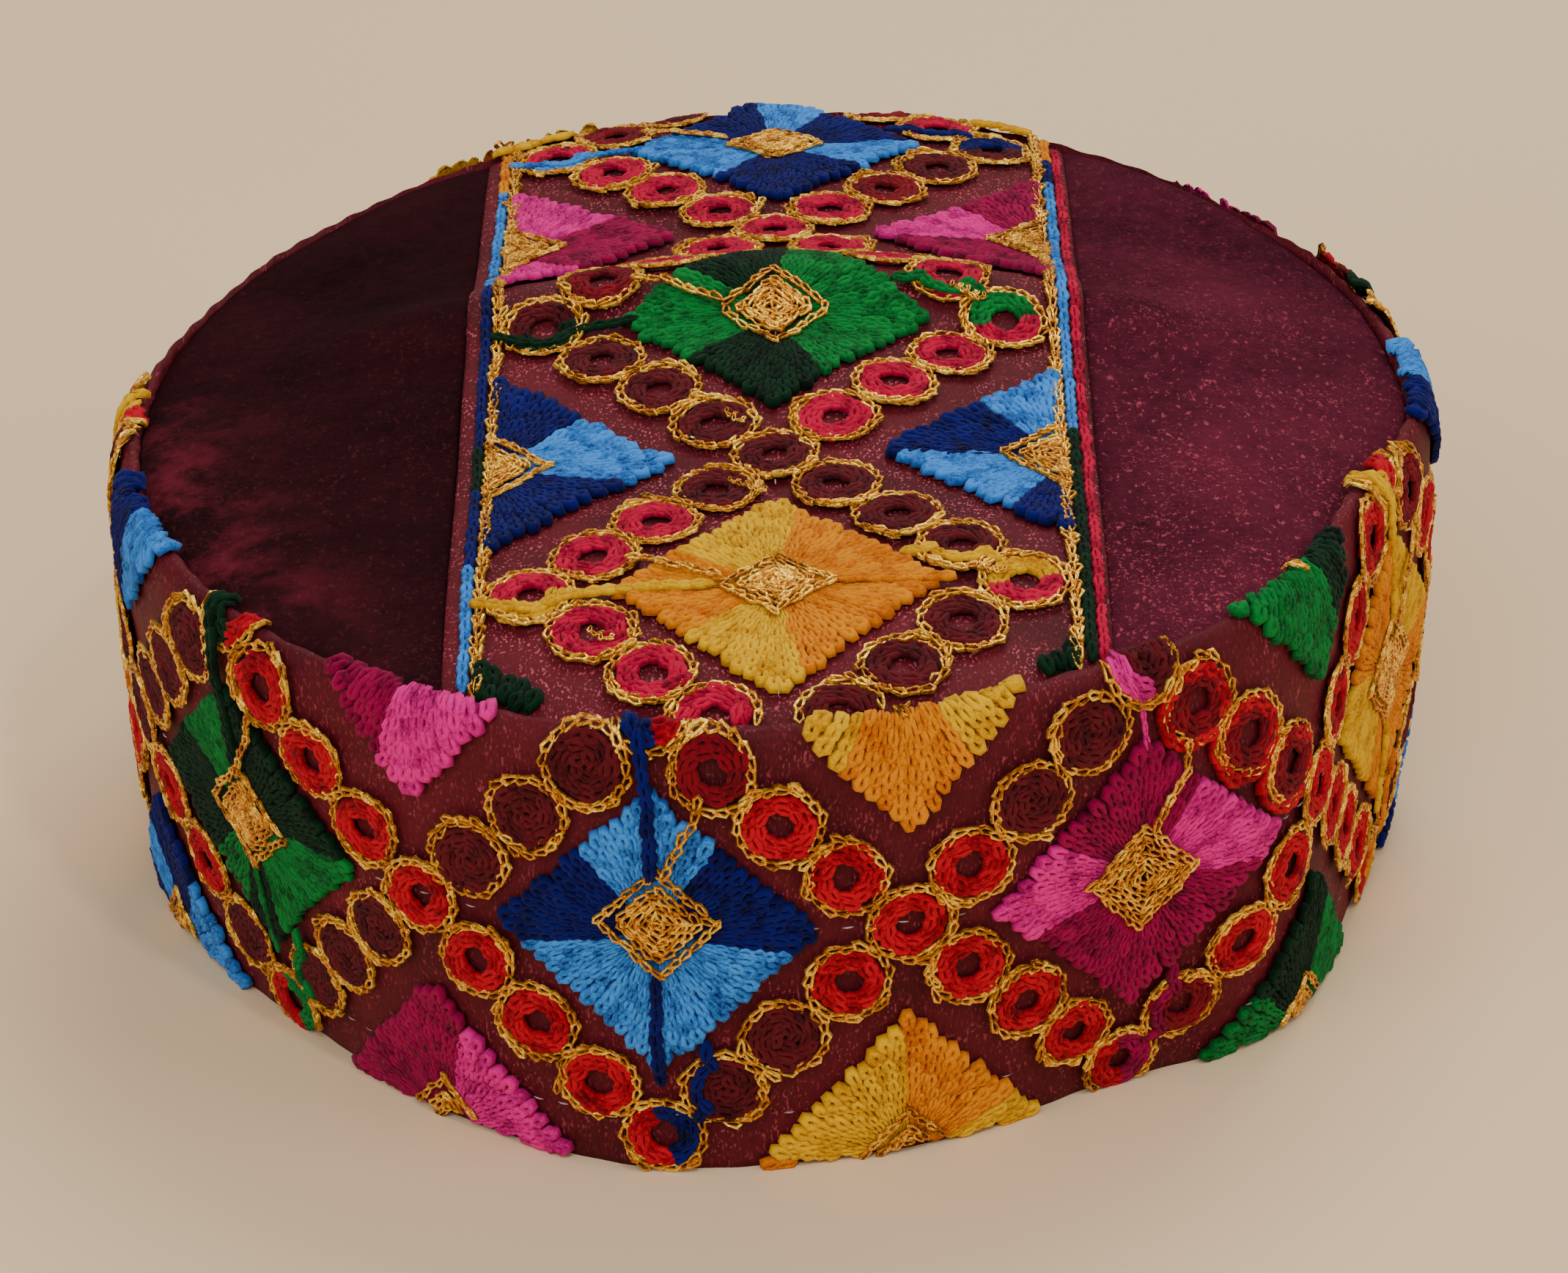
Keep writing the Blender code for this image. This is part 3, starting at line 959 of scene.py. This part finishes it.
def fill_diamond(stitches, centre_u, centre_v, half_u, half_v, part, colour):
    """Rows of wool chain from the gold square out to the diamond's edge, each ending in a round loop."""
    centre = np.array([centre_u, centre_v])
    pitch = np.hypot(half_u, half_v) / ROWS_PER_EDGE
    leading, *edges = FANS[stitches.name, part][colour]
    if part != "whole":
        edges = [TURNS_OF[part][0], *edges, TURNS_OF[part][1]]
    for n, (first, last) in enumerate(zip(edges, edges[1:])):
        thread = COLOURS[colour][(leading + n) % 2]
        count = max(int(round((last - first) * ROWS_PER_EDGE)), 2)
        for t in first + (np.arange(count) + 0.5) / count * (last - first):
            outer = on_diamond(t, half_u, half_v)
            start = on_diamond(t, FAN_INNER, FAN_INNER)
            reach = np.hypot(*(outer - start))
            end = start + (outer - start) * (1 + RANDOM.uniform(-0.03, 0.03) - 0.0006 / reach)
            links = max(int(round(reach / LINK_PITCH)), 3)
            share = np.linspace(0, 1, links + 1)
            path = centre + start + (end - start) * share[:, None]
            spread = np.linspace(0.42, 1.0, links)
            width = np.maximum(pitch * 1.16 * spread, FAN_LEAST_WIDTH)
            lift = 0.0002 + 0.0003 * (1 - spread)
            stitches.row(thread, path, links, width, lift, FAN_OVERLAP, FAN_UNEVEN)
        grid_t = np.linspace(first, last, 3 * count + 1)
        low = on_diamond(grid_t, FAN_INNER * 0.9, FAN_INNER * 0.9)[:, None]
        high = on_diamond(grid_t, half_u - PATCH_INSET, half_v - PATCH_INSET)[:, None]
        grid = centre + low + (high - low) * np.linspace(0, 1, 7)[None, :, None]
        stitches.patches.setdefault(thread, []).append((grid[..., 0], grid[..., 1]))


def gold_square(stitches, u, v, part, gap, size=(1.0, 1.0)):
    """A square of gold chain on its corner: an outline, a gap where the wool shows and a dense middle."""
    rows = [GOLD_SQUARE_HALF, *np.arange(GOLD_FILL_HALF, 0.0004, -GOLD_ROW_PITCH)]
    if not gap:
        rows = np.arange(GOLD_SQUARE_HALF - 0.0002, 0.0004, -GOLD_ROW_PITCH * 1.25)
    whole = part == "whole"
    first, last = TURNS_OF[part]
    turn = np.linspace(first, last if whole else last - 0.001, 33)
    for half in rows:
        corners = on_diamond(turn[:-1] if whole else turn, half, half)
        style = "square outline" if half == GOLD_SQUARE_HALF else "square row"
        stitches.chain("gold", np.array([u, v]) + corners * size, style, closed=whole)


def circle(u, v, radius, turn_from=0.0, turn_to=2 * PI, count=40):
    turn = np.linspace(turn_from, turn_to, count)
    return np.stack([u + radius * np.cos(turn), v + radius * np.sin(turn)], -1)


RING_WOOLS = {"r": "red", "m": "dark_red", "d": "dark", "o": "dark_red"}
OUTER_WOOL_SHIFT = 0.8 * MM
OUTER_WOOL_RADIUS = 5.6 * MM
HEART_RADIUS = 1.4 * MM
WOOL_TURNS = (("outer", 4.3 * MM), ("inner", 3.0 * MM))


def ring(stitches, u, v, kind, second=None, half=1):
    """Gold chain round two turns of wool, open in the middle. second colours the half towards +u or -u."""
    shift = RANDOM.uniform(-0.0002, 0.0002, 2)
    u = u + shift[0]
    v = v + shift[1]
    radius = RING_RADIUS * RANDOM.uniform(0.97, 1.02)
    begin = RANDOM.uniform(0, 2 * PI)
    stitches.chain("gold", circle(u, v, radius, begin, begin + 2 * PI), "ring")
    doubled = circle(u, v, radius + 0.0003, begin, begin + RANDOM.uniform(1.2, 2.4))
    stitches.chain("gold", doubled, "ring again")
    thread = RING_WOOLS[kind]
    if thread == "red" and stitches.name == "strip":
        thread = "crimson"
    if kind == "o":
        stray = circle(u - OUTER_WOOL_SHIFT, v - OUTER_WOOL_SHIFT, OUTER_WOOL_RADIUS)
        stitches.chain("red", stray, "ring stray")
    for name, turn_radius in WOOL_TURNS:
        if second is None:
            stitches.chain(thread, circle(u, v, turn_radius), f"{name} turn")
            continue
        middle = 0 if half > 0 else PI
        near = circle(u, v, turn_radius, middle - PI / 2, middle + PI / 2)
        far = circle(u, v, turn_radius, middle + PI / 2, middle + 1.5 * PI)
        stitches.chain(second, near, f"{name} half turn")
        stitches.chain(thread, far, f"{name} half turn")
    if kind == "d" and stitches.name == "band":
        stitches.chain(thread, circle(u, v, HEART_RADIUS), "ring heart")


CHART = (
    # ribbon, repeat, colour, then the rings: up-left, up-right, down-left and down-right counted from the
    # crossing on the middle line, the one on the middle line to the right, the upper and lower edge's
    ("band", -4, "blue", "rrr ddd rrd rdd r dr"),
    ("band", -3, "magenta", "rdd rrd rrr rrd r rr"),
    ("band", -2, "yellow", "rrr dmd rrr rrd d rr"),
    ("band", -1, "green", "ddd rrr rrd ddd r rr"),
    ("band", 0, "blue", "ddd rrm rrr rdd r rr"),
    ("band", 1, "magenta", "rdd ooo rrr rrm r dr"),
    ("band", 2, "yellow", "rrr rrm rrr ddd d rr"),
    ("band", 3, "green", "ddd rrr rrd ddd r dr"),
    ("band", 4, "blue", "ddd rrm rrr rdd r rr"),
    ("strip", -1, "magenta", "rrr rrr rrr ddd d rr"),
    ("strip", 0, "yellow", "rrr drr ddd ddd d rr"),
    ("strip", 1, "green", "ddd rrm rrr rrr r dr"),
    ("strip", 2, "blue", "rrr rdm rmd rmr r rd"),
)
HALF_AFTER = {"blue": "yellow", "magenta": "green", "yellow": "blue", "green": "magenta"}
QUARTERS = ((-1, 1), (1, 1), (-1, -1), (1, -1))
TURNS_OF = {"whole": (0.0, 4.0), "upper": (2.0, 4.0), "lower": (0.0, 2.0)}
GOLD_CHANGES = {
    # ribbon, repeat: moved along, moved across, size along and size across
    ("band", 0): (0.0006, 0.0018, 1.0, 1.0),
    ("strip", 0): (0.0, 0.0, 0.72, 0.93),
    ("strip", 1): (0.0004, 0.0, 0.88, 0.92),
    ("strip", 2): (0.0, 0.0, 0.68, 0.88),
}
# Paths in mm along and across the ribbon, from a diamond's centre
# or, for travelling threads, from the arm's last ring and the ring on the edge
SPIKE_UP = ((-0.3, 22.0), (-1.4, 29.5), (-3.9, 33.0), (-2.8, 38.0), (-1.6, BORDER_V / MM))
SPIKE_DOWN = ((-0.3, -16.0), (0.0, -23.8))
GOLD_TAIL = ((0.8, 7.5), (2.8, 12.0), (5.6, 16.5), (6.4, 20.5))
TRAVEL_START = ((-2.2, 8.5), (-2.4, 6.0))
TRAVEL_END = (5.2, 4.0)
TRAVEL_TURN = 4.2 * MM


def half_diamonds(stitches, centre_u, colour):
    """The halves on both edges of the ribbon between two whole diamonds."""
    for side, part in ((1, "upper"), (-1, "lower")):
        v = side * BORDER_V
        if side > 0 and stitches.name == "band":
            v += UPPER_HALF_SHIFT.get(colour, 0)
        fill_diamond(stitches, centre_u, v, HALF_DIAMOND_BASE, HALF_DIAMOND_REACH, part, colour)
        gold_square(stitches, centre_u, v, part, True)


def repeat_of_ribbon(stitches, k, colour, rings):
    """One whole diamond, its rings, and the half diamonds that follow it."""
    *arms, middle, edges = rings.split()
    centre_u = k * REPEAT
    above, above_width, above_start, below, below_width, travel = SPIKES[stitches.name, colour]
    fill_diamond(stitches, centre_u, 0.0, DIAMOND_U, DIAMOND_V, "whole", colour)
    gold_u, gold_v, size_u, size_v = GOLD_CHANGES.get((stitches.name, k), (0.0, 0.0, 1.0, 1.0))
    gold_square(stitches, centre_u + gold_u, gold_v, "whole", colour != "magenta", (size_u, size_v))
    path = [(0.0, above_start), *(SPIKE_UP[:-1] if abs(k) > 2 else SPIKE_UP)]
    stitches.chain(above, np.array(path) * MM + (centre_u, 0), "spike above", above_width)
    if below:
        path = [(0.0, (gold_v - GOLD_SQUARE_HALF * size_v) / MM), *SPIKE_DOWN]
        stitches.chain(below, np.array(path) * MM + (centre_u, 0), "spike below", below_width)
    stitches.chain("gold", np.array(GOLD_TAIL) * MM + (centre_u + gold_u, gold_v), "tail")
    for (side_u, side_v), kinds in zip(QUARTERS, arms):
        for n, kind in enumerate(kinds):
            ring_u = centre_u + side_u * (0.375 - 0.125 * n) * REPEAT
            ring_v = side_v * (n + 1) / 4 * EDGE_RING_V
            ring(stitches, ring_u, ring_v, kind)
    travel_thread(stitches, centre_u, travel)
    for side, kind, second in zip((1, -1), edges, (above, travel)):
        ring(stitches, centre_u, side * EDGE_RING_V, kind, second, -side)
    ring(stitches, centre_u + REPEAT / 2, 0.0, middle)
    half_diamonds(stitches, centre_u + REPEAT / 2, HALF_AFTER[colour])


def travel_thread(stitches, centre_u, thread):
    """The wool that runs on from the diamond past the last ring to the one on the edge."""
    last_u = centre_u + 0.125 * REPEAT
    last_v = -0.75 * EDGE_RING_V
    run = np.array(TRAVEL_START) * MM + (last_u, last_v)
    arc = circle(last_u, last_v, TRAVEL_TURN, 0.62 * PI, 1.3 * PI, 9)
    end = np.array([TRAVEL_END]) * MM + (centre_u, -EDGE_RING_V)
    path = np.concatenate([run, arc, end])
    stitches.chain(thread, path, "travel")


STRIP_LINES = (
    # v, thread, from u, to u, width, in mm
    (43.0, "sky", -34.0, 8.0, 2.0),
    (43.0, "navy", 8.0, 30.0, 1.9),
    (43.0, "dark_green", 30.0, 42.0, 1.9),
    (43.0, "navy", 42.0, 84.0, 1.9),
    (43.0, "sky", 84.0, 134.0, 1.8),
    (43.0, "orange", 134.0, 165.0, 1.9),
    (-42.9, "dark_green", -34.0, 44.0, 1.9),
    (-42.9, "sky", 44.0, 132.0, 1.9),
    (-42.9, "navy", 132.0, 142.0, 1.9),
    (-42.9, "orange", 142.0, 165.0, 1.9),
    (-44.6, "crimson", -34.0, 148.0, 1.5),
)
# Across the strip in mm, from and to
REAR_ROWS = ((-31.0, -39.5), (45.0, 33.0))
REAR_ROW_INSET = 1.2 * MM
CURLS = (
    # from u and v in mm, to u and v, loops
    (29.0, 6.5, 25.0, 1.5, 4),
    (47.5, 7.0, 44.5, 4.5, 2),
    (78.5, -26.5, 76.0, -31.0, 4),
    (2.5, -28.0, 1.0, -31.5, 3),
    (-9.5, 25.5, -12.0, 22.5, 2),
)
CURL_HALF_LENGTH = 0.8
CURL_HALF_WIDTH = 0.5
RUNNING_ROWS = (0.4 * MM, -30.5 * MM)


def gold_curls(stitches):
    """Loose loops of gold where a thread was left long."""
    for from_u, from_v, to_u, to_v, loops in CURLS:
        share = np.linspace(0, 1, 9 * loops)
        turn = 2 * PI * loops * share
        u = from_u + (to_u - from_u) * share + CURL_HALF_LENGTH * np.cos(turn)
        v = from_v + (to_v - from_v) * share + CURL_HALF_WIDTH * np.sin(turn)
        stitches.chain("gold", np.stack([u, v], 1) * MM, "curl")


def rear_rows(stitches):
    """Short rows of wool where the band's half diamonds reach the strip's rear edge."""
    for from_v, to_v in REAR_ROWS:
        v = np.linspace(from_v, to_v, 6) * MM
        bearing = np.arccos(-v / SEAM_RADIUS)
        u = np.sqrt((crown_radius(bearing) - REAR_ROW_INSET) ** 2 - v**2) - STRIP_FIRST_Y
        stitches.chain("yellow", np.stack([u, v], 1), "rear row")


def strip_borders(stitches):
    for side in (1, -1):
        path = np.array([(-34.0, 0.0), (165.0, 0.0)]) * MM + (0, side * BORDER_V)
        stitches.chain("gold", path, "border")
        stitches.chain("gold", path, "border again")
    for v, thread, low, high, width in STRIP_LINES:
        stitches.chain(thread, np.array([(low, v), (high, v)]) * MM, "edge line", width)


def running_stitches(band, strip):
    """Sparse pale stitches along the middle of both ribbons and above the hem."""
    low, high = band.ribbon.limits()
    for v in RUNNING_ROWS:
        band.dashes("pale", [(low + 0.004, v), (high - 0.004, v)], 4.2 * MM, 0.24 * MM)
    strip.dashes("pale", [(-0.034, 0.0), (0.16, 0.0)], 4.4 * MM, 0.22 * MM)


def make_embroidery():
    band = Stitches(Band(), "band")
    strip = Stitches(Strip(), "strip")
    for ribbon, k, colour, rings in CHART:
        repeat_of_ribbon(band if ribbon == "band" else strip, k, colour, rings)
    strip_borders(strip)
    rear_rows(strip)
    gold_curls(strip)
    running_stitches(band, strip)
    return band, strip


# Cloth
def make_band_cloth(band, material):
    """The band as one closed wall: its outer face, the roll to the crown and the plain inner face."""
    columns = band.table[:-1:3]
    outer = columns[:, ::3]
    outer = np.concatenate([outer, columns[:, -1:]], 1)
    across = columns[:, :1].copy()
    across[..., 2] = 0
    away = across / np.linalg.norm(across, axis=-1, keepdims=True)
    rows = [0, 30, 60, 90, 112]
    inner = columns[:, rows[::-1]] - away * BAND_THICKNESS
    tuck = outer[:, -1:] - np.array([0, 0, CROWN_THICKNESS])
    points = np.concatenate([outer, tuck, inner], 1)
    index = index_grid(*points.shape[:2])
    right = np.roll(index, -1, axis=0)
    faces = np.stack([index, right, np.roll(right, -1, 1), np.roll(index, -1, 1)], -1).reshape(-1, 4)
    return mesh_piece("band_cloth", points.reshape(-1, 3), faces, material)


def make_strip_cloth(material):
    edge = np.linspace(0.975, 1, 6)[1:]
    columns = np.concatenate([-edge[::-1], np.linspace(-0.975, 0.975, 48), edge])
    x = STRIP_HALF_WIDTH * columns[:, None]
    share = (1 - np.cos(PI * np.linspace(0, 1, 130))) / 2 * 0.35 + np.linspace(0, 1, 130) * 0.65
    front = rim_at(x, -1)
    y = front + (rim_at(x, 1) - front) * share[None, :]
    x = np.broadcast_to(x, y.shape)
    return sheet_piece("strip_cloth", x, y, strip_height(x, y), STRIP_SHEET, material)


def make_panel(name, side, material):
    straight_x = side * (STRIP_HALF_WIDTH - 0.0001)
    corner_x = straight_x + side * 0.0006
    first, last = (np.arctan2(rim_at(np.array(corner_x), end), side * corner_x) for end in (-1, 1))
    angle = np.linspace(first, last, 110)
    bearing = angle if side > 0 else PI - angle
    radius = crown_radius(bearing)
    out = np.concatenate([np.linspace(0, 0.94, 40), np.linspace(0.94, 1, 9)[1:]])[None, :]
    x = straight_x + (radius * np.cos(bearing) - straight_x)[:, None] * out
    y = np.broadcast_to((radius * np.sin(bearing))[:, None], x.shape)
    return sheet_piece(name, x, y, panel_height(x, y), PANEL_SHEET, material)


# Stage
def make_stage():
    settings = {"Roughness": 0.9, "Specular IOR Level": 0.2}
    material, shader, place = new_material("plain floor", settings)
    share = ramp(noise(place, 3.0), 0.3, 0.7)
    tone = mixed(share, srgb(234, 205, 166), srgb(239, 211, 173))
    material.node_tree.links.new(tone, shader.inputs["Base Color"])
    bpy.ops.mesh.primitive_plane_add(size=8, location=(0, 0, 0))
    floor = bpy.context.object
    floor.name = "floor"
    floor.data.materials.append(material)
    world = bpy.data.worlds.new("soft room")
    world.use_nodes = True
    background = world.node_tree.nodes["Background"].inputs
    background["Color"].default_value = (1.0, 0.95, 0.89, 1.0)
    background["Strength"].default_value = 0.46
    bpy.context.scene.world = world


LIGHTS = (
    # name, place, size, power, colour
    ("key above and behind", (0.25, 0.7, 1.15), 0.7, 9.0, (1.0, 0.96, 0.9)),
    ("front above", (-0.15, -1.05, 1.05), 0.5, 4.5, (1.0, 0.97, 0.93)),
    ("fill from the front left", (-0.95, -0.9, 0.7), 0.8, 5.0, (1.0, 0.97, 0.94)),
    ("fill from the right", (1.2, -0.5, 0.7), 0.6, 4.0, (1.0, 0.95, 0.9)),
    ("small bright lamp", (0.35, -0.75, 1.25), 0.08, 3.0, (1.0, 0.95, 0.88)),
)


def make_lights():
    for name, place, size, power, colour in LIGHTS:
        data = bpy.data.lights.new(name, "AREA")
        data.size = size
        data.energy = power
        data.color = colour
        light = bpy.data.objects.new(name, data)
        light.location = place
        light.rotation_euler = (Vector((0, 0, 0.04)) - Vector(place)).to_track_quat("-Z", "Y").to_euler()
        bpy.context.scene.collection.objects.link(light)


def make_camera():
    data = bpy.data.cameras.new("camera")
    data.sensor_width = SENSOR_WIDTH
    data.lens = FOCAL_PIXELS / PHOTO_WIDTH * SENSOR_WIDTH
    camera = bpy.data.objects.new("camera", data)
    aim = Matrix.Translation((-CENTRE_X, -CENTRE_Y, CAMERA_AIM_HEIGHT))
    turn = Matrix.Rotation(CAMERA_AZIMUTH, 4, "Z") @ Matrix.Rotation(PI / 2 - CAMERA_ELEVATION, 4, "X")
    roll = Matrix.Rotation(CAMERA_ROLL, 4, "Z")
    camera.matrix_world = aim @ turn @ roll @ Matrix.Translation((CAMERA_RIGHT, CAMERA_UP, CAMERA_DISTANCE))
    bpy.context.scene.collection.objects.link(camera)
    bpy.context.scene.camera = camera


def main():
    make_camera()
    make_stage()
    make_lights()
    materials = {name: wool_material(f"{name} wool", *colours) for name, colours in WOOLS.items()}
    materials["gold"] = gold_material()
    materials["pale"] = wool_material("pale thread", (120, 86, 92), (214, 186, 186))
    # The strip's satin carries more painted glint specks than the band's, as its top catches more light.
    satin = satin_material("maroon satin", 0.34)
    strip_satin = satin_material("maroon satin of the strip", 0.85)
    # One velvet as a darker shaded copy on the left and a lighter lit copy on the right: painted shade and
    # light.
    left_velvet = velvet_material("left velvet", (22, 5, 9), (50, 16, 22), 0.1, 0.3)
    right_velvet = velvet_material("right velvet", (51, 13, 27), (97, 32, 51), 0.85, 0.26)
    band, strip = make_embroidery()
    cloth = make_band_cloth(band.ribbon, satin)
    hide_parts("side_band")
    over = make_strip_cloth(strip_satin)
    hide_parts("crown_strip")
    left = make_panel("velvet_left", -1, left_velvet)
    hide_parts("crown_panel_left")
    right = make_panel("velvet_right", 1, right_velvet)
    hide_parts("crown_panel_right")
    stitched = [*band.build(materials), *strip.build(materials)]
    for piece in (cloth, over, *stitched):
        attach(piece, "root")
    for piece in (left, right):
        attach(piece, "root")


main()
